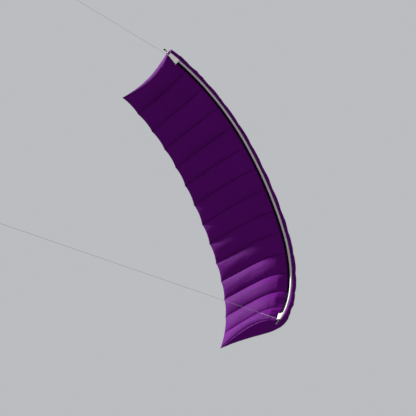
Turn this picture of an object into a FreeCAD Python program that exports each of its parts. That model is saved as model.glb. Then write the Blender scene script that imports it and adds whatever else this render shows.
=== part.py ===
"""Two-line ram-air power kite with one flexible spar in its leading edge.

Frame: millimetres. X runs along the span, -Y is forward (the leading edge), +Z is up, away from
the flyer, and the flying lines hang straight down. The origin is the spar's axis at mid-span.
The wing is a cloth shell of cells between ribs, bowed by the spar, and is split into five
sections that flex against each other.
"""
import FreeCAD, Part
import math
import os

Vector = FreeCAD.Vector

# --- wing ---------------------------------------------------------------------------------
CELLS = 14
SPAN_ARC = 3050.0          # along the spar, from tip rib to tip rib
CHORD = 674.0              # spar axis to trailing edge at mid-span
TIP_TAPER = 0.09           # share of the chord lost at the tips
BOW_DEG = (10.6, 27.2, 20.6)   # bow gained from mid-span outwards: centre half, mid, tip section
LEAN_DEG = 13.6            # the plane of the bow leans back by this at the tips
PITCH_DEG = 4.5            # trailing edge below level at mid-span
TWIST_DEG = -10.6          # change of pitch at the tips
NOSE_END = 29.0            # the lower skin starts here; only the rib behind it tapers
TIP_PULL = 40.0            # the tip seams are drawn in by this in mid-chord
TIP_BLOCK = 300.0          # size of the blocks that trim the tip cells, larger than the cells
TIP_BLOCK_FRONT = -72.0    # their front, ahead of the nose
CENTRE_CELLS = 4           # cells in the centre section
MID_CELLS = 3              # cells in each mid section
CLOTH = 1.2                # cloth thickness, seam allowances included
UPPER_BILLOW = 14.0        # how far a cell rises between its ribs
LOWER_BILLOW = 11.0

# Rib outline: (distance behind the spar axis, height), on the mid-span chord.
UPPER_LINE = ((-10.5, -1.0), (-27, 7), (-28, 24), (-10, 42),
              (70, 60), (200, 67), (400, 46), (CHORD, 1.3))
LOWER_LINE = ((NOSE_END, -9), (110, -36), (220, -49), (400, -36), (CHORD, -1.3))
INTAKE_FRONT = (9.6, -1.5)     # front edge of the air intake, on the sleeve

# --- spar, sleeve and end fittings ----------------------------------------------------------
ROD_R = 4.0
FERRULE_R = 5.0
FERRULE_LENGTH = 80.0
SLEEVE_IN_R = 5.2
SLEEVE_R = 9.0
FERRULE_FROM_FLEX = 40.0   # from the inner flex line to a ferrule's outer end
ROD_BEYOND_TIP = 68.0
CAP_R = 7.0
CAP_LENGTH = 22.0
CAP_OVERHANG = 3.0
COLLAR_R = 8.5
COLLAR_LENGTH = 16.0
COLLAR_CLEAR = 3.0         # from the tip rib to the collar

# --- flex gaps -------------------------------------------------------------------------------
FLEX_GAP = 6.5             # between neighbouring wing sections
FIT = 0.3                  # between pieces that do not touch

# --- tip patches, leaders and flying lines ---------------------------------------------------
PATCH_LENGTH = 108.0       # along the leading edge
PATCH_FRONT = -12.0
PATCH_BACK_TIP = 16.0      # rear edge at the tip
PATCH_BACK_INNER = 36.0    # rear edge at the inner end
PATCH_THICK = 1.6
PATCH_DROP = 13.6          # from the spar axis down to the patch's upper face
PATCH_SLOPE = 0.17         # the patch follows the lower skin down behind the sleeve
LEADER_R = 1.5
LEADER_LENGTH = 280.0      # patch to the middle of the stopper knot
LEADER_INSET = 5.0         # inside the tip rib
LEADER_BACK = 12.0         # behind the spar axis
KNOT_R = 4.8
LINE_R = 1.0
LINE_LENGTH = 3650.0       # modelled stretch of each flying line below its knot
LOOP_R = 14.0

HALF = SPAN_ARC / 2
CELL = SPAN_ARC / CELLS
EDGES = (0.0, CENTRE_CELLS / 2 * CELL, (CENTRE_CELLS / 2 + MID_CELLS) * CELL, HALF)
BOW = [math.radians(a) for a in BOW_DEG]
LEAN = math.radians(LEAN_DEG)
DOWN = Vector(0, 0, -1)


def leaned(x, y, z):
    """A point or direction of the upright bow plane, leaned about X."""
    return Vector(x, y * math.cos(LEAN) - z * math.sin(LEAN), y * math.sin(LEAN) + z * math.cos(LEAN))


def bow_radius(s):
    """Radius of the spar's arc at distance |s| from mid-span."""
    k = 0 if abs(s) < EDGES[1] else 1 if abs(s) < EDGES[2] else 2
    return (EDGES[k + 1] - EDGES[k]) / BOW[k]


def bow_point(s):
    """Position and bow angle of the spar axis at arc distance s, in the upright plane."""
    x = z = angle = 0.0
    for k in range(3):
        start = EDGES[k]
        stop = EDGES[k + 1] if k < 2 else float("inf")
        run = min(max(abs(s) - start, 0.0), stop - start)
        radius = (EDGES[k + 1] - start) / BOW[k]
        turned = angle + run / radius
        x += radius * (math.sin(turned) - math.sin(angle))
        z -= radius * (math.cos(angle) - math.cos(turned))
        angle = turned
    side = 1 if s >= 0 else -1
    return side * x, z, side * angle


class Station:
    """A cross-section of the wing: spar point, chord, height and span directions."""

    def __init__(self, s, shift=0.0):
        x, z, angle = bow_point(s)
        pitch = math.radians(PITCH_DEG + TWIST_DEG * (s / HALF) ** 2) + LEAN
        out = leaned(math.sin(angle), 0, math.cos(angle))
        back = leaned(0, 1, 0)
        self.span = leaned(math.cos(angle), 0, -math.sin(angle))
        self.chord = back * math.cos(pitch) - out * math.sin(pitch)
        self.height = out * math.cos(pitch) + back * math.sin(pitch)
        self.scale = 1 - TIP_TAPER * (s / HALF) ** 2
        self.origin = leaned(x, 0, z) + self.span * shift

    def at(self, back, up):
        return self.origin + self.chord * back + self.height * up

    def profile(self, back, up):
        """A point of the rib outline; behind the nose it shrinks with the chord."""
        if back > NOSE_END:
            back = NOSE_END + (back - NOSE_END) * (self.scale * CHORD - NOSE_END) / (CHORD - NOSE_END)
        return self.at(back, up)


def spline(points):
    curve = Part.BSplineCurve()
    curve.interpolate(points)
    return curve.toShape()


def inset(line, inward):
    """The outline moved inwards by the cloth's thickness, square to itself."""
    moved = []
    for k, (back, up) in enumerate(line):
        before = line[max(k - 1, 0)]
        after = line[min(k + 1, len(line) - 1)]
        run = math.hypot(after[0] - before[0], after[1] - before[1])
        along = ((after[0] - before[0]) / run, (after[1] - before[1]) / run)
        moved.append((back - inward * along[1] * CLOTH, up + inward * along[0] * CLOTH))
    return moved


def swollen(line, inward, billow):
    """The outline pushed out by the air between two ribs."""
    last = len(line) - 1
    rise = [inward * billow * math.sin(math.pi * k / last) for k in range(len(line))]
    return [(back, up - r) for (back, up), r in zip(line, rise)]


def skin_section(station, line, inward, billow):
    """Closed outline of one cloth skin at a station; inward is -1 on top and +1 below."""
    full = swollen(line, inward, billow)
    outer = [station.profile(*p) for p in full]
    inner = [station.profile(*p) for p in inset(full, inward)]
    edges = [spline(outer), Part.makeLine(outer[-1], inner[-1]),
             spline(inner[::-1]), Part.makeLine(inner[0], outer[0])]
    return Part.Wire(edges)


def panel(start, stop, line, inward, billow):
    """Cloth panel of one cell, lofted through its two seams and its crown."""
    middle = Station((start[0] + stop[0]) / 2, (start[1] + stop[1]) / 2)
    sections = [skin_section(Station(*start), line, inward, 0.0),
                skin_section(middle, line, inward, billow),
                skin_section(Station(*stop), line, inward, 0.0)]
    return Part.makeLoft(sections, True, False)


def rib_outline(station, upper_billow=0.0, lower_billow=0.0):
    """Outline of the space between the skins at a station, open round the sleeve."""
    upper = [station.profile(*p) for p in swollen(UPPER_LINE, -1, upper_billow)]
    lower = [station.profile(*p) for p in swollen(LOWER_LINE, 1, lower_billow)]
    clear = SLEEVE_R + FIT
    behind = station.at(clear, 0)
    above = station.at(0, clear)
    front = station.at(-clear, 0)
    edges = [spline(upper), Part.makeLine(upper[-1], lower[-1]), spline(lower[::-1]),
             Part.makeLine(lower[0], behind), Part.Arc(behind, above, front).toShape(),
             Part.makeLine(front, upper[0])]
    return Part.Wire(edges)


def rib(s):
    """Rib plate sewn between the skins of its two cells."""
    station = Station(s, -CLOTH / 2)
    return Part.Face(rib_outline(station)).extrude(station.span * CLOTH)


def tip_line(side, out):
    """Points in a tip's span and chord plane along its drawn-in seam, moved outwards by out."""
    station = Station(side * HALF)
    rear = station.scale * CHORD
    middle = (NOSE_END + rear) / 2
    places = ((TIP_BLOCK_FRONT, 0.0), (NOSE_END, 0.0), (middle, -TIP_PULL), (rear, 0.0))
    return [station.at(back, -TIP_BLOCK / 2) + station.span * side * (o + out) for back, o in places]


def tip_block(side, out_from, out_to):
    """Upright block between two copies of the tip seam; out_to of None goes past the tip."""
    a = tip_line(side, out_from)
    station = Station(side * HALF)
    if out_to is None:
        beyond = station.span * side * TIP_BLOCK
        rest = [Part.makePolygon([a[3], a[3] + beyond, a[0] + beyond, a[0]])]
    else:
        b = tip_line(side, out_to)
        rest = [Part.makeLine(a[3], b[3]), Part.Arc(b[3], b[2], b[1]).toShape(),
                Part.makeLine(b[1], b[0]), Part.makeLine(b[0], a[0])]
    seam = [Part.makeLine(a[0], a[1]), Part.Arc(a[1], a[2], a[3]).toShape()]
    edges = seam + [edge for shape in rest for edge in shape.Edges]
    return Part.Face(Part.Wire(edges)).extrude(station.height * TIP_BLOCK)


def tip_stations(side):
    """Stations of a tip cell from its inner seam to the tip rib's outer face."""
    inner = HALF - CELL
    return (Station(side * inner, side * CLOTH / 2), Station(side * (HALF - CELL / 2)),
            Station(side * HALF, side * CLOTH / 2))


def tip_rib(side):
    """End rib, curved because its middle is drawn in towards the wing."""
    near, middle, far = tip_stations(side)
    outlines = [rib_outline(near), rib_outline(middle, UPPER_BILLOW, LOWER_BILLOW), rib_outline(far)]
    filled = Part.makeLoft(outlines, True, False)
    return filled.common(tip_block(side, -CLOTH / 2, CLOTH / 2))


def tip_panel(side, line, inward, billow):
    """Cloth panel of a tip cell, ending at the drawn-in tip rib."""
    near, middle, far = tip_stations(side)
    sections = [skin_section(near, line, inward, 0.0), skin_section(middle, line, inward, billow),
                skin_section(far, line, inward, 0.0)]
    return Part.makeLoft(sections, True, False).cut(tip_block(side, -CLOTH / 2, None))


def mesh_strip(start, stop):
    """Mesh over the air intake of one cell, from the sleeve to the lower skin."""
    sections = []
    for s, shift in (start, stop):
        station = Station(s, shift)
        corners = [station.at(*INTAKE_FRONT), station.at(NOSE_END - FIT, LOWER_LINE[0][1]),
                   station.at(NOSE_END - FIT, LOWER_LINE[0][1] + CLOTH),
                   station.at(INTAKE_FRONT[0], INTAKE_FRONT[1] + CLOTH)]
        sections.append(Part.makePolygon(corners + corners[:1]))
    return Part.makeLoft(sections, True, True)


def arc_tube(s_from, s_to, radius, hole=0.0):
    """Round rod or tube along the spar's arc, inside one bow zone."""
    middle = (s_from + s_to) / 2
    bend = bow_radius(middle)
    station = Station(s_from)
    out = leaned(math.sin(bow_point(s_from)[2]), 0, math.cos(bow_point(s_from)[2]))
    centre = station.origin - out * bend
    wires = [Part.Wire(Part.makeCircle(r, station.origin, station.span)) for r in (radius, hole) if r]
    face = Part.Face(wires)
    turn = math.degrees((s_to - s_from) / bend)
    return face.revolve(centre, leaned(0, 1, 0), turn)


def joined(pieces):
    solid = pieces[0].multiFuse(pieces[1:])
    return solid.removeSplitter()


def spar_run(s_from, s_to, radius, hole=0.0):
    """A rod or tube that may cross mid-span."""
    if s_from < 0 < s_to:
        return joined([arc_tube(0, s_to, radius, hole), arc_tube(0, s_from, radius, hole)])
    return arc_tube(s_from, s_to, radius, hole)


def patch(side):
    """Reinforcement under the leading-edge corner of a tip, narrower at the tip."""
    station = Station(side * (HALF - PATCH_LENGTH / 2))
    along = station.chord - station.height * PATCH_SLOPE
    along.normalize()
    down = station.span.cross(along)
    down = down if down.dot(station.height) < 0 else -down
    to_tip = station.span * side
    corner = station.at(0, -PATCH_DROP)
    reach = PATCH_LENGTH / 2
    outline = ((PATCH_FRONT, -reach), (PATCH_FRONT, reach),
               (PATCH_BACK_TIP, reach), (PATCH_BACK_INNER, -reach))
    points = [corner + along * back + to_tip * out for back, out in outline]
    return Part.Face(Part.makePolygon(points + points[:1])).extrude(down * PATCH_THICK)


def straight_tube(side, start, length, radius, hole=0.0):
    """Round piece on the straight stretch beyond a tip; start is measured from the tip seam."""
    station = Station(side * HALF)
    along = station.span * side
    foot = station.origin + along * start
    tube = Part.makeCylinder(radius, length, foot, along)
    if hole:
        tube = tube.cut(Part.makeCylinder(hole, length, foot, along))
    return tube


def tip_rod(side, start):
    """Spar rod of a tip section: bowed inside the wing, straight beyond it."""
    tip = side * HALF
    return joined([arc_tube(start, tip, ROD_R), straight_tube(side, 0.0, ROD_BEYOND_TIP, ROD_R)])


def end_fittings(side):
    """Retaining collar against the tip and the cap over the rod's end."""
    collar = straight_tube(side, CLOTH / 2 + COLLAR_CLEAR, COLLAR_LENGTH, COLLAR_R, ROD_R)
    cap_start = ROD_BEYOND_TIP + CAP_OVERHANG - CAP_LENGTH
    shell = straight_tube(side, cap_start, CAP_LENGTH - CAP_OVERHANG, CAP_R, ROD_R)
    lid = straight_tube(side, ROD_BEYOND_TIP, CAP_OVERHANG, CAP_R)
    return Part.makeCompound([collar, joined([shell, lid])])


def leader_top(side):
    """Where the leader leaves the patch, just clear of its lower face."""
    station = Station(side * (HALF - LEADER_INSET))
    drop = PATCH_DROP + PATCH_SLOPE * LEADER_BACK + PATCH_THICK + LEADER_R + 2 * FIT
    return station.at(LEADER_BACK, -drop)


def leader(side):
    """Short thick cord from the patch, with its stopper knot."""
    top = leader_top(side)
    cord = Part.makeCylinder(LEADER_R, LEADER_LENGTH, top, DOWN)
    knot = Part.makeSphere(KNOT_R, top + DOWN * LEADER_LENGTH)
    return joined([cord, knot])


def flying_line(side):
    knot = leader_top(side) + DOWN * LEADER_LENGTH
    return Part.makeCylinder(LINE_R, LINE_LENGTH, knot + DOWN * (KNOT_R + FIT), DOWN)


def line_loop(side):
    """Tied loop at the lower end of a flying line."""
    end = leader_top(side) + DOWN * (LEADER_LENGTH + KNOT_R + FIT + LINE_LENGTH)
    return Part.makeTorus(LOOP_R, LINE_R, end + DOWN * (LOOP_R + LINE_R), Vector(0, 1, 0))


def sections():
    """Name, side, first and last arc distance of each wing section, from the left tip."""
    inner, outer = EDGES[1], EDGES[2]
    step = CLOTH / 2 + FLEX_GAP
    return (("left_tip", -1, outer + step, HALF), ("left_mid", -1, inner + step, outer),
            ("centre", 0, 0.0, inner),
            ("right_mid", 1, inner + step, outer), ("right_tip", 1, outer + step, HALF))


def section_of(index):
    """Wing section that cell number index (0 at the left tip) belongs to."""
    tip_cells = (CELLS - CENTRE_CELLS) // 2 - MID_CELLS
    bounds = (tip_cells, tip_cells + MID_CELLS, CELLS - tip_cells - MID_CELLS, CELLS - tip_cells)
    return sum(index >= b for b in bounds)


def cell_ends(index):
    """The two seams of a cell as (arc distance, shift) pairs, clear of ribs and flex gaps."""
    ends = []
    for rib_index, inward in ((index, 1), (index + 1, -1)):
        s = -HALF + rib_index * CELL
        shift = inward * CLOTH / 2
        outboard = abs(rib_index - CELLS / 2) < abs(index + 0.5 - CELLS / 2)
        on_flex = 0 < rib_index < CELLS and section_of(rib_index - 1) != section_of(rib_index)
        if on_flex and outboard:
            shift += inward * FLEX_GAP
        ends.append((s, shift))
    return ends


def export(name, shape):
    shape.exportStep("parts/" + name + ".step")


def build():
    os.makedirs("parts", exist_ok=True)
    names = [row[0] for row in sections()]
    meshes = {name: [] for name in names}
    ribs = {name: [] for name in names}
    for index in range(CELLS):
        start, stop = cell_ends(index)
        label = "%02d" % (index + 1)
        for kind, line, inward, billow in (("upper", UPPER_LINE, -1, UPPER_BILLOW),
                                           ("lower", LOWER_LINE, 1, LOWER_BILLOW)):
            if index in (0, CELLS - 1):
                shape = tip_panel(-1 if index == 0 else 1, line, inward, billow)
            else:
                shape = panel(start, stop, line, inward, billow)
            export("%s_panel_%s" % (kind, label), shape)
        meshes[names[section_of(index)]].append(mesh_strip(start, stop))
    for index in range(CELLS + 1):
        inboard_cell = index if index < CELLS / 2 else index - 1
        tip = {0: -1, CELLS: 1}.get(index)
        piece = tip_rib(tip) if tip else rib(-HALF + index * CELL)
        ribs[names[section_of(inboard_cell)]].append(piece)
    for name, side, near, far in sections():
        export("ribs_" + name, Part.makeCompound(ribs[name]))
        export("intake_mesh_" + name, Part.makeCompound(meshes[name]))
        start, stop = (-far, far) if side == 0 else (side * near, side * far)
        rod = tip_rod(side, start) if name.endswith("tip") else spar_run(start, stop, ROD_R)
        export("spar_rod_" + name, rod)
        export("spar_sleeve_" + name, spar_run(start, stop, SLEEVE_R, SLEEVE_IN_R))
    for name, side in (("left", -1), ("right", 1)):
        ferrule_far = side * (EDGES[1] - FERRULE_FROM_FLEX)
        export("ferrule_" + name, arc_tube(ferrule_far - side * FERRULE_LENGTH, ferrule_far,
                                           FERRULE_R, ROD_R))
        export("tip_patch_" + name, patch(side))
        export("spar_end_fittings_" + name, end_fittings(side))
        export("leader_" + name, leader(side))
        export("flying_line_" + name, flying_line(side))
        export("line_loop_" + name, line_loop(side))


build()
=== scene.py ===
"""Looks of the two-line ram-air power kite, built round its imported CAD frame.

Metres, in the row frame: X along the span, -Y forward, +Z up, the flying lines hang down.
The wing's driving sizes repeat the CAD source's, so cloth pieces lie where its solids are.
"""
import math

import bpy
from mathutils import Matrix, Vector, noise


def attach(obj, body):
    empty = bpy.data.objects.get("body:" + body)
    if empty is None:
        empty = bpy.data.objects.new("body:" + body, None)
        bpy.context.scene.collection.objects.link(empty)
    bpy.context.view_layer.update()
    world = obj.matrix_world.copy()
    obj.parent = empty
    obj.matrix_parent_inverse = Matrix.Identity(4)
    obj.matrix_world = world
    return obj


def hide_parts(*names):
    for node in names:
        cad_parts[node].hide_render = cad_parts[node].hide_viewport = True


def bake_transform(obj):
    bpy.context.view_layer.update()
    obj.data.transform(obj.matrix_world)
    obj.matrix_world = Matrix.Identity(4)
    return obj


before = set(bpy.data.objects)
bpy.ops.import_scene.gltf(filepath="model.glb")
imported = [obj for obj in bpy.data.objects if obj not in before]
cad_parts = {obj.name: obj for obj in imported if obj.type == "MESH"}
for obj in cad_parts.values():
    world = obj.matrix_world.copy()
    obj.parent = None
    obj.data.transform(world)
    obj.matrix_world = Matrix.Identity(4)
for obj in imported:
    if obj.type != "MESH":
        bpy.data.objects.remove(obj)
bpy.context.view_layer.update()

# --- the wing, as the CAD has it ---------------------------------------------------------
CELLS = 14
SPAN_ARC = 3.050
CHORD = 0.674
TIP_TAPER = 0.09
BOW = [math.radians(a) for a in (10.6, 27.2, 20.6)]
LEAN = math.radians(13.6)
PITCH_DEG = 4.5
TWIST_DEG = -10.6
HALF = SPAN_ARC / 2
CELL = SPAN_ARC / CELLS
EDGES = (0.0, 2 * CELL, 5 * CELL, HALF)
NOSE_END = 0.029                   # the lower skin starts here; the chord tapers behind it
UPPER_LINE = ((-0.0105, -0.001), (-0.027, 0.007), (-0.028, 0.024), (-0.010, 0.042),
              (0.070, 0.060), (0.200, 0.067), (0.400, 0.046), (0.674, 0.0006))
LOWER_LINE = ((NOSE_END, -0.009), (0.110, -0.036), (0.220, -0.049), (0.400, -0.036), (0.674, -0.0006))
SLEEVE_BACK = (0.0092, -0.0035)    # rear edge of the sleeve, where the intake mesh starts
NET_SAG = 0.0025                   # how far the intake mesh bulges between its edges
TIP_PULL = 0.060                   # how far a tip seam is drawn in at mid-chord
TIP_SWELL = 0.020                  # and how far the tip rib swells out again

# --- cloth --------------------------------------------------------------------------------
UPPER_BILLOW = 0.015
LOWER_BILLOW = 0.027
EDGE_SCALLOP = 0.014               # the trailing edge's curve between two ribs
EDGE_SAG = 0.013                   # and how far it hangs between them
CROWN_POWER = 0.8                  # under 1, a billow is fuller near its seams
FRONT_RISE = 0.12                  # share of a panel's length over which its billow grows
REAR_FALL = 12                     # power by which it dies away at the trailing edge
EDGE_FROM = 0.80                   # share of the length where the scallop starts
PUCKER = 0.0026                    # height of the puckers at the seams
PUCKER_REACH = 0.030               # and the distance over which they fade
SLACK = 0.0024                     # height of the soft waves in mid-cell
NOSE_FOLD = 0.010                  # height of the folds at the nose of the tip cells
SEAM_HALF = 0.0045                 # half the width of a seam strip
SEAM_PROUD = 0.0012                # its height over the skin at its edges, doubled in the middle
CLOTH = 0.0006
ALONG = 72                         # mesh steps along a panel
ACROSS = 24                        # mesh steps across a cell

# --- spar, tips and cords -------------------------------------------------------------------
ROD_R = 0.004
ROD_BEYOND_TIP = 0.068
SLEEVE_R = 0.0088
PATCH_LENGTH = 0.108
PATCH_BACK_TIP = 0.016
PATCH_BACK_INNER = 0.036
PATCH_DROP = 0.0136                # from the spar axis down to the patch's upper face
PATCH_UNDER = 0.0173               # and down to the leader's top, before the slope
PATCH_SLOPE = 0.17
LEADER_BACK = 0.012
LEADER_INSET = 0.005
LEADER_D = 0.003
LEADER_LENGTH = 0.280
LEADER_SEWN = 0.0020               # its top reaches up into the patch
KNOT_R = 0.0048
LINE_D = 0.002
LINE_LENGTH = 3.65
LOOP_R = 0.014

# --- camera, light and stage ------------------------------------------------------------------
CAMERA_AZIMUTH = 50.45
CAMERA_ELEVATION = -59.4
CAMERA_ROLL = 114.2
CAMERA_DISTANCE = 12.60
CAMERA_TARGET = (0.208, 0.300, -0.751)
CAMERA_LENS = 132.4
KEY_FROM = (-0.88, 0.46, 0.09)
FLOOR_Z = -40.0


def leaned(x, y, z):
    """A direction or point of the upright bow plane, leaned about X."""
    return Vector((x, y * math.cos(LEAN) - z * math.sin(LEAN), y * math.sin(LEAN) + z * math.cos(LEAN)))


def bow_point(s):
    """Spar axis at arc distance s from mid-span: x, z and bow angle in the upright plane."""
    x = z = angle = 0.0
    for k in range(3):
        start = EDGES[k]
        stop = EDGES[k + 1] if k < 2 else float("inf")
        run = min(max(abs(s) - start, 0.0), stop - start)
        radius = (EDGES[k + 1] - start) / BOW[k]
        turned = angle + run / radius
        x += radius * (math.sin(turned) - math.sin(angle))
        z -= radius * (math.cos(angle) - math.cos(turned))
        angle = turned
    side = 1 if s >= 0 else -1
    return side * x, z, side * angle


class Station:
    """A cross-section of the wing at arc distance s."""

    def __init__(self, s):
        x, z, angle = bow_point(s)
        pitch = math.radians(PITCH_DEG + TWIST_DEG * (s / HALF) ** 2) + LEAN
        out = leaned(math.sin(angle), 0, math.cos(angle))
        back = leaned(0, 1, 0)
        self.span = leaned(math.cos(angle), 0, -math.sin(angle))
        self.chord = back * math.cos(pitch) - out * math.sin(pitch)
        self.height = out * math.cos(pitch) + back * math.sin(pitch)
        self.scale = 1 - TIP_TAPER * (s / HALF) ** 2
        self.origin = leaned(x, 0, z)

    def at(self, back, up):
        """Point of the section; behind the nose it shrinks with the chord."""
        if back > NOSE_END:
            back = NOSE_END + (back - NOSE_END) * (self.scale * CHORD - NOSE_END) / (CHORD - NOSE_END)
        return self.origin + self.chord * back + self.height * up


def smooth_line(points, steps):
    """Points evenly spaced by length along a Catmull-Rom curve through the given ones."""
    ends = [points[0]] + list(points) + [points[-1]]
    fine = []
    for k in range(1, len(ends) - 2):
        p0, p1, p2, p3 = ends[k - 1:k + 3]
        for j in range(20):
            t = j / 20
            fine.append(tuple(0.5 * (2 * b + (c - a) * t + (2 * a - 5 * b + 4 * c - d) * t * t
                                     + (3 * b - a - 3 * c + d) * t ** 3)
                              for a, b, c, d in zip(p0, p1, p2, p3)))
    fine.append(tuple(points[-1]))
    run = [0.0]
    for a, b in zip(fine, fine[1:]):
        run.append(run[-1] + math.dist(a, b))
    even = []
    k = 0
    for j in range(steps + 1):
        want = run[-1] * j / steps
        while k < len(run) - 2 and run[k + 1] < want:
            k += 1
        t = (want - run[k]) / max(run[k + 1] - run[k], 1e-9)
        even.append(tuple(a + (b - a) * t for a, b in zip(fine[k], fine[k + 1])))
    return even, run[-1]


UPPER, UPPER_CUT = smooth_line(UPPER_LINE, ALONG)
LOWER, LOWER_CUT = smooth_line(LOWER_LINE, ALONG)


# --- meshes -------------------------------------------------------------------------------
def grid_piece(name, rows, closed=False, thickness=0.0, sizes=(1.0, 1.0), offset=0.0):
    """Smooth mesh from rows of points; its UVs run over sizes, in metres. closed joins each row."""
    wide = len(rows[0])
    points = [p for row in rows for p in row]
    faces = []
    corners = []
    for i in range(len(rows) - 1):
        for j in range(wide if closed else wide - 1):
            k = (j + 1) % wide
            faces.append((i * wide + j, i * wide + k, (i + 1) * wide + k, (i + 1) * wide + j))
            corners += [(i, j), (i, j + 1), (i + 1, j + 1), (i + 1, j)]
    mesh = bpy.data.meshes.new(name)
    mesh.from_pydata(points, [], faces)
    layer = mesh.uv_layers.new(name="cloth")
    for loop, (i, j) in zip(layer.data, corners):
        loop.uv = (i / (len(rows) - 1) * sizes[0], j / (wide - (0 if closed else 1)) * sizes[1])
    mesh.polygons.foreach_set("use_smooth", [True] * len(mesh.polygons))
    piece = bpy.data.objects.new(name, mesh)
    bpy.context.scene.collection.objects.link(piece)
    if thickness:
        solid = piece.modifiers.new("cloth", "SOLIDIFY")
        solid.thickness = thickness
        solid.offset = offset
    return piece


def tube_rows(path, radii, sides):
    """Rings of points round a path; each ring carries the last one's direction on."""
    rows = []
    side = None
    for k, here in enumerate(path):
        ahead = (path[min(k + 1, len(path) - 1)] - path[max(k - 1, 0)]).normalized()
        if side is None:
            side = ahead.orthogonal().normalized()
        side = (side - ahead * side.dot(ahead)).normalized()
        other = ahead.cross(side)
        rows.append([here + (side * math.cos(a) + other * math.sin(a)) * radii[k]
                     for a in (2 * math.pi * j / sides for j in range(sides))])
    return rows


def tube_piece(name, path, radius, sides=16, sizes=(1.0, 1.0)):
    """Round tube along a path, its ends closed to a point. radius is a number or one per point."""
    radii = list(radius) if hasattr(radius, "__len__") else [radius] * len(path)
    first = path[0] - (path[1] - path[0]).normalized() * 1e-5
    last = path[-1] + (path[-1] - path[-2]).normalized() * 1e-5
    path = [first] + list(path) + [last]
    radii = [1e-5] + radii + [1e-5]
    return grid_piece(name, tube_rows(path, radii, sides), True, 0.0, sizes)


def finish_piece(piece, slot, material, *nodes):
    piece.data.materials.append(material)
    if nodes:
        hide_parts(*nodes)
    return piece


# --- bodies and how pieces follow them ------------------------------------------------------
BODIES = ("wing_left_tip", "wing_left_mid", "wing_centre", "wing_right_mid", "wing_right_tip")
SECTIONS = ("left_tip", "left_mid", "centre", "right_mid", "right_tip")
FIRST_CELLS = (0, 2, 5, 9, 12)
# Runs of cells that ride on one section, or that cross the flex line between two.
RUNS = ((0, 0), (1, 2), (3, 3), (4, 5), (6, 7), (8, 9), (10, 10), (11, 12), (13, 13))


def section_of(cell):
    return sum(cell >= first for first in FIRST_CELLS) - 1


def follow(piece, first, last):
    """Ride on the section of these cells; a piece across the flex line between two sections only has its
    transform baked.
    """
    a, b = section_of(first), section_of(last)
    if a == b:
        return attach(piece, BODIES[a])
    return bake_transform(piece)


def run_of(cell):
    return next(run for run in RUNS if run[0] <= cell <= run[1])


def follow_rib(piece, index):
    """A rib on a flex line goes with the cells on both its sides; any other goes with its cell or its run
    of cells.
    """
    cell = min(index, CELLS - 1)
    run = run_of(cell)
    if 0 < index < CELLS and section_of(index - 1) != section_of(index):
        return follow(piece, index - 1, index)
    return follow(piece, cell, cell) if run[0] == run[1] else follow(piece, *run)


# --- materials --------------------------------------------------------------------------------
CLOTH_SPECULAR = 0.006             # coated cloth seen at a low sun hardly glints
LIGHT_THROUGH = 0.15               # share of the light that goes through the ripstop


class Nodes:
    """Short calls for building a node tree."""

    def __init__(self, name):
        self.material = bpy.data.materials.new(name)
        self.material.use_nodes = True
        self.tree = self.material.node_tree
        self.tree.nodes.clear()
        self.out = self.tree.nodes.new("ShaderNodeOutputMaterial")

    def add(self, kind, links=(), **values):
        node = self.tree.nodes.new(kind)
        for key, value in values.items():
            setattr(node, key, value)
        for socket, source in dict(links).items():
            if isinstance(source, bpy.types.NodeSocket):
                self.tree.links.new(source, node.inputs[socket])
            else:
                node.inputs[socket].default_value = source
        return node

    def math(self, operation, a, b=0.0):
        return self.add("ShaderNodeMath", {0: a, 1: b}, operation=operation).outputs[0]

    def mix(self, factor, a, b):
        node = self.add("ShaderNodeMix", {0: factor, 6: a, 7: b}, data_type="RGBA")
        return node.outputs[2]

    def noise(self, vector, scale, detail=3.0):
        links = {"Vector": vector, "Scale": scale, "Detail": detail}
        return self.add("ShaderNodeTexNoise", links).outputs[0]

    def bump(self, strength, distance, height, under=None):
        """A bump's normal; under is the normal of a coarser one below it."""
        links = {"Strength": strength, "Distance": distance, "Height": height}
        if under:
            links["Normal"] = under
        return self.add("ShaderNodeBump", links).outputs[0]

    def surface(self, colour, rough, normal, specular=0.5, sheen=0.0):
        links = {"Base Color": colour, "Roughness": rough, "Normal": normal,
                 "Specular IOR Level": specular, "Sheen Weight": sheen}
        return self.add("ShaderNodeBsdfPrincipled", links).outputs[0]

    def finish(self, shader):
        self.tree.links.new(shader, self.out.inputs[0])
        return self.material


def shade(colour, factor):
    """The colour times a factor, with alpha."""
    return tuple(c * factor for c in colour) + (1.0,)


def cloth_coordinates(nodes):
    """The cloth's own coordinates in metres: the vector, and its two parts."""
    uv = nodes.add("ShaderNodeUVMap", uv_map="cloth").outputs[0]
    parts = nodes.add("ShaderNodeSeparateXYZ", {0: uv})
    return uv, parts.outputs[0], parts.outputs[1]


def thread_lines(nodes, coordinate, pitch, width):
    """1 on lines this far apart along a coordinate, 0 between them."""
    place = nodes.math("FRACT", nodes.math("DIVIDE", coordinate, pitch))
    return nodes.math("LESS_THAN", place, width)


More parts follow.
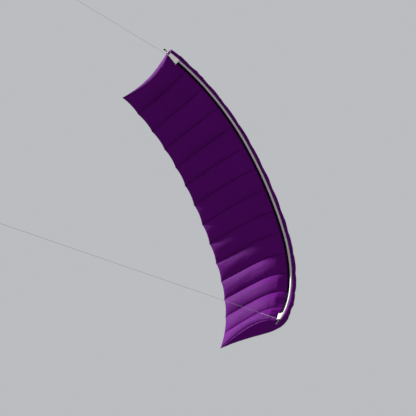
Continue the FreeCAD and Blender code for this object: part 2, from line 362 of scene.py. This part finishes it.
def ripstop(name, colour):
    """Coated ripstop: fine grid of thicker threads, crinkle, faint fading and some light through."""
    n = Nodes(name)
    _, u, v = cloth_coordinates(n)
    place = n.add("ShaderNodeTexCoord").outputs["Object"]
    grid = n.math("MAXIMUM", thread_lines(n, u, 0.005, 0.14), thread_lines(n, v, 0.005, 0.14))
    faded = n.noise(place, 3.0)
    grime = n.noise(place, 38.0)
    base = n.mix(faded, shade(colour, 0.82), shade(colour, 1.22))
    base = n.mix(n.math("MULTIPLY", grid, 0.22), base, shade(colour, 0.5))
    rough = n.math("ADD", n.math("MULTIPLY", grime, 0.14), 0.55)
    crinkle = n.bump(0.45, 0.004, n.noise(place, 48.0, 5.0))
    normal = n.bump(0.25, 0.0003, grid, crinkle)
    skin = n.surface(base, rough, normal, CLOTH_SPECULAR)
    glow = n.add("ShaderNodeBsdfTranslucent", {"Color": base, "Normal": normal}).outputs[0]
    return n.finish(n.add("ShaderNodeMixShader", {0: LIGHT_THROUGH, 1: skin, 2: glow}).outputs[0])


def webbing(name, colour, pitch=0.0014, wear=0.25):
    """Woven tape or heavy cloth with a herringbone, slightly soiled."""
    n = Nodes(name)
    _, u, v = cloth_coordinates(n)
    place = n.add("ShaderNodeTexCoord").outputs["Object"]
    slant = n.math("PINGPONG", v, 0.004)
    ribs = n.math("SINE", n.math("MULTIPLY", n.math("ADD", u, slant), 2 * math.pi / pitch))
    dirt = n.noise(place, 14.0, 4.0)
    base = n.mix(dirt, shade(colour, 1), shade(colour, 1 - wear))
    base = n.mix(n.math("MULTIPLY", n.math("ADD", ribs, 1.0), 0.06), base, shade(colour, 0.5))
    rough = n.math("ADD", n.math("MULTIPLY", dirt, 0.2), 0.62)
    return n.finish(n.surface(base, rough, n.bump(0.5, 0.0004, ribs), sheen=0.2))


def net(name):
    """Open black intake mesh, drawn as one sheet: its hexagon-like holes are painted a shade darker than
    the threads, as painted shade of the wing's dark inside seen through them.
    """
    n = Nodes(name)
    uv, _, _ = cloth_coordinates(n)
    holes = n.add("ShaderNodeTexVoronoi", {"Vector": uv, "Scale": 420.0, "Randomness": 0.12})
    thread = n.math("GREATER_THAN", holes.outputs["Distance"], 0.42)
    # The holes' darker colour is painted shade, not a colour of the mesh itself.
    base = n.mix(thread, (0.0050, 0.0010, 0.0068, 1), (0.0130, 0.0026, 0.0170, 1))
    rough = n.math("SUBTRACT", 0.85, n.math("MULTIPLY", thread, 0.25))
    return n.finish(n.surface(base, rough, n.bump(0.7, 0.0006, thread), CLOTH_SPECULAR))


def stitched_tape(name, colour, thread):
    """Folded seam with a row of stitches along it."""
    n = Nodes(name)
    _, u, v = cloth_coordinates(n)
    dash = thread_lines(n, v, 0.0035, 0.68)
    row = n.math("LESS_THAN", n.math("ABSOLUTE", n.math("SUBTRACT", u, SEAM_HALF)), 0.0007)
    stitch = n.math("MULTIPLY", dash, row)
    soil = n.noise(n.add("ShaderNodeTexCoord").outputs["Object"], 20.0)
    base = n.mix(soil, shade(colour, 0.75), shade(colour, 1))
    base = n.mix(stitch, base, shade(thread, 1))
    rough = n.math("ADD", n.math("MULTIPLY", soil, 0.15), 0.45)
    return n.finish(n.surface(base, rough, n.bump(0.8, 0.0004, stitch), CLOTH_SPECULAR))


def moulded(name, colour, rough_from, rough_to, streak=1.0):
    """Moulded or drawn hard part with fine scuffs; streak over 1 stretches them along Z."""
    n = Nodes(name)
    place = n.add("ShaderNodeTexCoord").outputs["Object"]
    stretched = n.add("ShaderNodeMapping", {"Vector": place, "Scale": (1, 1, 1 / streak)}).outputs[0]
    scuff = n.noise(stretched, 260.0, 5.0)
    worn = tuple(min(1.0, c * 1.5 + 0.01) for c in colour)
    base = n.mix(scuff, shade(colour, 1), shade(worn, 1))
    rough = n.math("ADD", n.math("MULTIPLY", scuff, rough_to - rough_from), rough_from)
    return n.finish(n.surface(base, rough, n.bump(0.15, 0.0003, scuff)))


def braid(name, colour, pitch):
    """Braided cord: two crossing sets of strands round it, with painted shade in the grooves between them.
    """
    n = Nodes(name)
    place = n.add("ShaderNodeTexCoord").outputs["Object"]
    parts = n.add("ShaderNodeSeparateXYZ", {0: place})
    round_it = n.math("ARCTAN2", parts.outputs[1], parts.outputs[0])
    turns = n.math("MULTIPLY", parts.outputs[2], 2 * math.pi / pitch)
    one = n.math("SINE", n.math("ADD", turns, n.math("MULTIPLY", round_it, 4.0)))
    two = n.math("SINE", n.math("SUBTRACT", turns, n.math("MULTIPLY", round_it, 4.0)))
    strands = n.math("MAXIMUM", one, two)
    # Painted shade: the grooves between the strands are darker, and the strand tops keep the full colour.
    share = n.math("MULTIPLY", n.math("ADD", strands, 1.0), 0.5)
    base = n.mix(share, shade(colour, 0.62), shade(colour, 1))
    rough = n.math("ADD", n.math("MULTIPLY", n.noise(place, 90.0), 0.2), 0.5)
    return n.finish(n.surface(base, rough, n.bump(0.6, 0.0003, strands)))


PURPLE = (0.074, 0.0030, 0.108)
UPPER_CLOTH = ripstop("upper_ripstop", PURPLE)
LOWER_CLOTH = ripstop("lower_ripstop", PURPLE)
RIB_CLOTH = ripstop("rib_ripstop", PURPLE)
SEAM_TAPE = stitched_tape("seam_tape", (0.045, 0.002, 0.060), (0.075, 0.008, 0.095))
SLEEVE_TAPE = webbing("sleeve_webbing", (0.44, 0.42, 0.41))
PATCH_CLOTH = webbing("patch_cloth", (0.78, 0.76, 0.73), 0.0020, 0.12)
INTAKE_NET = net("intake_net")
ROD = moulded("fibre_rod", (0.045, 0.022, 0.050), 0.25, 0.42, 8.0)
BLACK = moulded("black_moulding", (0.008, 0.008, 0.009), 0.38, 0.60)
METAL = moulded("drawn_aluminium", (0.55, 0.55, 0.57), 0.28, 0.45, 6.0)
LEADER_BRAID = braid("leader_braid", (0.62, 0.61, 0.59), 0.006)
LINE_BRAID = braid("line_braid", (0.33, 0.34, 0.36), 0.004)


# --- cloth panels -------------------------------------------------------------------------------
def pucker(cell, along, across, seed):
    """Small puckers square to the seams, fading towards the middle of the cell."""
    from_seam = min(across, 1 - across) * CELL
    wave = noise.noise(Vector((along * 26.0 + seed * 3.7, cell * 5.1, seed + round(across))))
    soft = noise.noise(Vector((along * 5.0, across * 3.0, cell * 2.3 + seed * 9.0)))
    rise = PUCKER * wave * math.exp(-from_seam / PUCKER_REACH) + SLACK * soft * math.sin(math.pi * across)
    near_tip = max(0.0, abs(cell - (CELLS - 1) / 2) - 3.0) / 3.5
    fold = noise.noise(Vector((across * 7.0, along * 9.0, cell * 4.7 + seed)))
    return rise + NOSE_FOLD * near_tip * fold * math.exp(-along / 0.11) * math.sin(math.pi * across)


def drawn_in(cell, across, back):
    """Arc distance of a cloth point; the tip cells are drawn in towards the wing at mid-chord."""
    s = -HALF + (cell + across) * CELL
    if 0 < cell < CELLS - 1 or back < NOSE_END:
        return s
    side = 1 if cell else -1
    reach = across if side > 0 else 1 - across
    share = (back - NOSE_END) / (CHORD - NOSE_END)
    return s - side * TIP_PULL * 4 * share * (1 - share) * reach ** 1.4


def crown_at(across):
    """How far a billow stands up across a cell, from 0 at its seams to 1 in its middle."""
    return (4 * across * (1 - across)) ** CROWN_POWER


def outward_normal(line, step, outward):
    """Unit direction square to the outline at a step; outward is 1 on top and -1 below."""
    before = line[max(step - 1, 0)]
    after = line[min(step + 1, ALONG)]
    run = math.dist(before, after)
    return -(after[1] - before[1]) / run * outward, (after[0] - before[0]) / run * outward


def cell_point(cell, across, along, line, outward, billow, seed):
    """Point of a panel: across the cell from 0 to 1, at one step of the outline."""
    back, up = line[along]
    station = Station(drawn_in(cell, across, back))
    share = along / ALONG
    crown = crown_at(across)
    normal = outward_normal(line, along, outward)
    rise = billow * crown * min(1.0, share / FRONT_RISE) * (1 - share ** REAR_FALL)
    rise += pucker(cell, share, across, seed) * min(1.0, share / 0.05) * min(1.0, (1 - share) / 0.04)
    edge = max(0.0, (share - EDGE_FROM) / (1 - EDGE_FROM)) ** 2
    back += normal[0] * rise - EDGE_SCALLOP * crown * edge
    return station.at(back, up + normal[1] * rise - EDGE_SAG * crown * edge)


def panels():
    """One cloth panel above and one below each cell."""
    kinds = (("upper", UPPER, 1, UPPER_BILLOW, UPPER_CLOTH, UPPER_CUT, 1.0),
             ("lower", LOWER, -1, LOWER_BILLOW, LOWER_CLOTH, LOWER_CUT, 2.0))
    for cell in range(CELLS):
        for kind, line, outward, billow, material, cut, seed in kinds:
            number = "%02d" % (cell + 1)
            rows = [[cell_point(cell, i / ACROSS, j, line, outward, billow, seed)
                     for j in range(ALONG + 1)] for i in range(ACROSS + 1)]
            piece = grid_piece("%s_cloth_%s" % (kind, number), rows, False, CLOTH, (CELL, cut))
            finish_piece(piece, kind + "_cloth", material, "%s_panel_%s" % (kind, number))
            follow(piece, *run_of(cell))


# --- ribs and seams ------------------------------------------------------------------------------
OVER_SLEEVE = ((-0.0093, 0.0), (0.0, 0.0093), (0.0093, 0.0))
RIB_BOTTOM, _ = smooth_line(OVER_SLEEVE + LOWER_LINE, ALONG)


def rib_piece(index):
    """Rib cloth between the skins; the two tip ribs swell outwards."""
    cell = min(index, CELLS - 1)
    side = -1 if index == 0 else 1 if index == CELLS else 0
    rows = []
    for i in range(13):
        up_share = i / 12
        row = []
        for j in range(ALONG + 1):
            low = RIB_BOTTOM[j]
            high = UPPER[j]
            back = low[0] + (high[0] - low[0]) * up_share
            up = low[1] + (high[1] - low[1]) * up_share
            dome = (4 * up_share * (1 - up_share)) ** 0.7 * math.sin(math.pi * min(j / ALONG, 0.98)) ** 0.6
            dome *= min(1.0, max(0.0, (j / ALONG - 0.08) / 0.2))
            swell = TIP_SWELL * side * dome + 0.0010 * side * noise.noise(Vector((j * 0.3, i * 0.5, index)))
            station = Station(drawn_in(cell, index - cell, back))
            row.append(station.at(back, up) + station.span * swell)
        rows.append(row)
    return grid_piece("rib_cloth_%02d" % index, rows, False, CLOTH, (0.11, CHORD))


def seam_strip(index, line, kind, outward):
    """Folded seam along a rib, standing a little proud of the skin."""
    cell = min(index, CELLS - 1)
    inboard = {0: 0.0050, CELLS: -0.0050}.get(index, 0.0)
    rows = []
    for off in (-SEAM_HALF, -0.0025, 0.0, 0.0025, SEAM_HALF):
        proud = SEAM_PROUD + SEAM_PROUD * (1 - abs(off) / SEAM_HALF)
        row = []
        for j in range(ALONG + 1):
            back, up = line[j]
            station = Station(drawn_in(cell, index - cell, back) + inboard + off)
            normal = outward_normal(line, j, outward)
            row.append(station.at(back + normal[0] * proud, up + normal[1] * proud))
        rows.append(row)
    return grid_piece("seam_%s_%02d" % (kind, index), rows, False, 0.0004, (2 * SEAM_HALF, CHORD))


def ribs_and_seams():
    for index in range(CELLS + 1):
        inboard = index if index < CELLS / 2 else index - 1
        group = "ribs_" + SECTIONS[section_of(inboard)]
        piece = finish_piece(rib_piece(index), "rib_cloth", RIB_CLOTH, group)
        follow_rib(piece, index)
        for kind, line, outward in (("upper", UPPER, 1), ("lower", LOWER, -1)):
            strip = finish_piece(seam_strip(index, line, kind, outward), "rib_cloth", SEAM_TAPE)
            follow_rib(strip, index)


# --- pieces that run along the span ---------------------------------------------------------------
def ring(radius, sides, back=0.0, up=0.0):
    return [(back + radius * math.cos(a), up + radius * math.sin(a))
            for a in (2 * math.pi * k / sides for k in range(sides))]


def sleeve_outline():
    """Round over the rod, with a short sewn lip behind it."""
    front = [(SLEEVE_R * math.cos(a), SLEEVE_R * math.sin(a))
             for a in (math.radians(20 + k * 10) for k in range(30))]
    return front + [(0.0075, -0.0060), SLEEVE_BACK, (0.0090, -0.0020)]


def hem_outline():
    back = CHORD - 0.011
    return [(back, 0.0020), (CHORD, 0.0012), (CHORD + 0.0004, 0.0), (CHORD, -0.0012), (back, -0.0020)]


def span_rows(first, last, outline, steps, scallop=0.0):
    rows = []
    for k in range(steps * (last - first + 1) + 1):
        across = k / steps
        station = Station(-HALF + (first + across) * CELL)
        crown = crown_at(across % 1)
        sag = EDGE_SAG * crown if scallop else 0.0
        rows.append([station.at(back - scallop * crown, up - sag) for back, up in outline])
    return rows


def net_rows(first, last):
    """Intake mesh: its rear edge follows the lower skin's front edge."""
    outline = []
    for k in range(7):
        back, up = (a + (b - a) * k / 6 for a, b in zip(SLEEVE_BACK, LOWER_LINE[0]))
        outline.append((back, up + NET_SAG * math.sin(math.pi * k / 6)))
    return span_rows(first, last, outline, 12)


def nodes_at(first, last, stem):
    """CAD nodes of the sections that a run of cells lies in."""
    return sorted({stem + SECTIONS[section_of(cell)] for cell in (first, last)})


def spanwise_pieces():
    """Sleeve, rod, intake mesh and hem of every run of cells."""
    for first, last in RUNS:
        label = "%02d_%02d" % (first + 1, last + 1)
        wide = (last - first + 1) * CELL
        sleeve = span_rows(first, last, sleeve_outline(), 16)
        rod = span_rows(first, last, ring(ROD_R, 14), 16)
        hem = span_rows(first, last, hem_outline(), 16, EDGE_SCALLOP)
        mesh = net_rows(first, last)
        # Kind, rows, closed, thickness, slot, material, CAD nodes, distance round.
        made = (("sleeve", sleeve, True, 0.0, "spar_sleeve", SLEEVE_TAPE, "spar_sleeve_", 0.056),
                ("rod", rod, True, 0.0, "spar_rod", ROD, "spar_rod_", 0.025),
                ("net", mesh, False, 0.0008, "intake_mesh", INTAKE_NET, "intake_mesh_", 0.032),
                ("hem", hem, True, 0.0, "rib_cloth", SEAM_TAPE, None, 0.024))
        for kind, rows, closed, thick, slot, material, stem, around in made:
            piece = grid_piece("%s_%s" % (kind, label), rows, closed, thick, (wide, around))
            finish_piece(piece, slot, material, *(nodes_at(first, last, stem) if stem else ()))
            follow(piece, first, last)


# --- tips ------------------------------------------------------------------------------------------
def lathe(name, foot, along, profile, sides=28):
    """Turned piece: profile is (distance along the axis, radius) pairs."""
    side = along.orthogonal().normalized()
    other = along.cross(side)
    turns = [2 * math.pi * j / sides for j in range(sides)]
    rows = [[foot + along * d + (side * math.cos(a) + other * math.sin(a)) * r for a in turns]
            for d, r in profile]
    return grid_piece(name, rows, True, 0.0, (0.03, 0.04))


PATCH_LINE, _ = smooth_line(((-0.0106, 0.0045), (-0.0112, -0.0040), (-0.0080, -0.0118), (0.002, -0.0147),
                             (0.012, -0.0165), (0.024, -0.0186), (PATCH_BACK_INNER, -0.0206)), 24)


def patch_point(side, along, j, lift=0.0):
    """Point of a patch; along is 0 at the tip and 1 at its inner end, j counts back from the front."""
    share = j / (len(PATCH_LINE) - 1)
    reach = (PATCH_BACK_TIP + (PATCH_BACK_INNER - PATCH_BACK_TIP) * along) / PATCH_BACK_INNER
    back, up = PATCH_LINE[j]
    if back > 0:
        back *= reach
        up = up * reach - PATCH_DROP * (1 - reach)
    station = Station(side * (HALF + 0.0005 - PATCH_LENGTH * along))
    wrinkle = 0.0006 * noise.noise(Vector((along * 9, share * 8, side)))
    return station.at(back, up + wrinkle - lift)


def tip_patch(name, side):
    """White patch wrapped under the sleeve at the leading-edge corner, narrower at the tip."""
    rows = [[patch_point(side, i / 24, j) for j in range(25)] for i in range(25)]
    piece = grid_piece("patch_" + name, rows, False, 0.0010, (PATCH_LENGTH, 0.07))
    return finish_piece(piece, "tip_patch", PATCH_CLOTH, "tip_patch_" + name)


def patch_stitches(name, side):
    """Row of thread just inside the patch's inner end and rear edge."""
    points = [patch_point(side, 0.96, j, 0.0008) for j in range(4, 24)]
    points += [patch_point(side, 0.96 - 0.92 * k / 30, 23, 0.0008) for k in range(1, 31)]
    piece = tube_piece("patch_thread_" + name, points, 0.0005, 8, (0.16, 0.004))
    return finish_piece(piece, "tip_patch", SEAM_TAPE)


def spar_end(name, side):
    """Bare rod end, retaining collar and cap."""
    tip = Station(side * HALF)
    along = tip.span * side
    profile = ((-0.002, 0.0001), (0.0, ROD_R), (0.020, ROD_R), (0.045, ROD_R),
               (ROD_BEYOND_TIP - 0.002, ROD_R))
    rod = finish_piece(lathe("rod_end_" + name, tip.origin, along, profile), "spar_rod", ROD)
    profile = ((0.0036, ROD_R), (0.0036, 0.0078), (0.0044, 0.0085), (0.0070, 0.0085), (0.0076, 0.0079),
               (0.0082, 0.0085), (0.0188, 0.0085), (0.0196, 0.0076), (0.0196, ROD_R))
    collar = finish_piece(lathe("end_collar_" + name, tip.origin, along, profile), "end_fittings", BLACK,
                          "spar_end_fittings_" + name)
    profile = ((0.0490, ROD_R), (0.0490, 0.0062), (0.0497, 0.0070), (0.0530, 0.0070), (0.0536, 0.0065),
               (0.0542, 0.0070), (0.0670, 0.0070), (0.0692, 0.0063), (0.0704, 0.0048), (0.0710, 0.0001))
    cap = finish_piece(lathe("end_cap_" + name, tip.origin, along, profile), "end_fittings", BLACK)
    return rod, collar, cap


# --- cords ------------------------------------------------------------------------------------------
def cord_curve(name, points, diameter):
    curve = bpy.data.curves.new(name, "CURVE")
    curve.dimensions = "3D"
    curve.bevel_depth = diameter / 2
    curve.bevel_resolution = 6
    curve.use_fill_caps = True
    spline = curve.splines.new("NURBS")
    spline.points.add(len(points) - 1)
    for point, place in zip(spline.points, points):
        point.co = tuple(place) + (1.0,)
    spline.order_u = 3
    spline.use_endpoint_u = True
    piece = bpy.data.objects.new(name, curve)
    bpy.context.scene.collection.objects.link(piece)
    return piece


def knot_piece(name, centre):
    """Stopper knot: one cord wound over itself into a tight lump."""
    path = []
    for k in range(97):
        t = 2 * math.pi * k / 96
        path.append(centre + Vector((math.sin(t) + 2 * math.sin(2 * t), math.cos(t) - 2 * math.cos(2 * t),
                                     -1.6 * math.sin(3 * t))) * 0.00105)
    return tube_piece(name, path, 0.00150, 12, (0.04, 0.009))


def loop_piece(name, top):
    """Tied loop of line, hanging from top."""
    centre = top + Vector((0, 0, -LOOP_R - LINE_D / 2))
    path = [centre + Vector((math.sin(a) * LOOP_R, 0, math.cos(a) * LOOP_R))
            for a in (2 * math.pi * k / 64 for k in range(65))]
    return tube_piece(name, path, LINE_D / 2, 12, (0.09, 0.006))


def cords(name, side):
    top = Station(side * (HALF - LEADER_INSET)).at(LEADER_BACK, -PATCH_UNDER - PATCH_SLOPE * LEADER_BACK)
    knot_at = top + Vector((0, 0, -LEADER_LENGTH))
    leader_end = knot_at + Vector((0, 0, KNOT_R * 0.6))
    sewn = top + Vector((0, 0, LEADER_SEWN))
    leader = cord_curve("leader_cord_" + name, (sewn, (sewn + leader_end) / 2, leader_end), LEADER_D)
    finish_piece(leader, "leader_cord", LEADER_BRAID, "leader_" + name)
    knot = finish_piece(knot_piece("leader_knot_" + name, knot_at), "leader_cord", LEADER_BRAID)
    line_top = knot_at + Vector((0, 0, -KNOT_R - 0.0003))
    line_end = line_top + Vector((0, 0, -LINE_LENGTH))
    line = cord_curve("line_" + name, (line_top, (line_top + line_end) / 2, line_end), LINE_D)
    finish_piece(line, "line_cord", LINE_BRAID, "flying_line_" + name)
    loop = loop_piece("end_loop_" + name, line_end)
    finish_piece(loop, "line_cord", LINE_BRAID, "line_loop_" + name)
    for piece in (leader, knot):
        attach(piece, "leader_" + name)
    for piece in (line, loop):
        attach(piece, "line_" + name)


# --- stage, light, camera ----------------------------------------------------------------------------
def plain(name, colour):
    n = Nodes(name)
    shader = n.add("ShaderNodeBsdfPrincipled", {"Base Color": colour + (1.0,), "Roughness": 0.9})
    return n.finish(shader.outputs[0])


def stage():
    bpy.ops.mesh.primitive_plane_add(size=600, location=(0, 0, FLOOR_Z))
    floor = bpy.context.object
    floor.name = "floor"
    floor.data.materials.append(plain("floor_pale", (0.80, 0.80, 0.80)))


def lights():
    bpy.context.scene.view_settings.view_transform = "Standard"
    world = bpy.data.worlds.new("studio")
    bpy.context.scene.world = world
    world.use_nodes = True
    background = world.node_tree.nodes["Background"]
    background.inputs[0].default_value = (0.80, 0.82, 0.86, 1)
    background.inputs[1].default_value = 0.62
    key = bpy.data.lights.new("key", "SUN")
    key.energy = 14.0
    key.angle = math.radians(4.0)
    lamp = bpy.data.objects.new("key", key)
    lamp.rotation_mode = "QUATERNION"
    lamp.rotation_quaternion = Vector(KEY_FROM).to_track_quat("Z", "Y")
    bpy.context.scene.collection.objects.link(lamp)


def camera():
    azimuth, elevation, roll = map(math.radians, (CAMERA_AZIMUTH, CAMERA_ELEVATION, CAMERA_ROLL))
    back = Vector((math.sin(azimuth) * math.cos(elevation), -math.cos(azimuth) * math.cos(elevation),
                   math.sin(elevation)))
    level = Vector((0, 0, 1)).cross(back).normalized()
    upright = back.cross(level)
    right = level * math.cos(roll) + upright * math.sin(roll)
    up = upright * math.cos(roll) - level * math.sin(roll)
    eye = bpy.data.objects.new("camera", bpy.data.cameras.new("camera"))
    eye.data.lens = CAMERA_LENS
    eye.data.clip_end = 600
    eye.rotation_mode = "QUATERNION"
    eye.rotation_quaternion = Matrix((right, up, back)).transposed().to_quaternion()
    eye.location = Vector(CAMERA_TARGET) + back * CAMERA_DISTANCE
    bpy.context.scene.collection.objects.link(eye)
    bpy.context.scene.camera = eye


def carried_over():
    """CAD nodes that stay as they are get a finished material."""
    for name in ("ferrule_left", "ferrule_right"):
        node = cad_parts[name]
        node.data.materials.clear()
        node.data.materials.append(METAL)


camera()
lights()
stage()
for tip_name, tip_side in (("left", -1), ("right", 1)):
    cords(tip_name, tip_side)
    fittings = [tip_patch(tip_name, tip_side), patch_stitches(tip_name, tip_side)]
    fittings += spar_end(tip_name, tip_side)
    for fitting in fittings:
        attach(fitting, "wing_%s_tip" % tip_name)
panels()
ribs_and_seams()
spanwise_pieces()
carried_over()
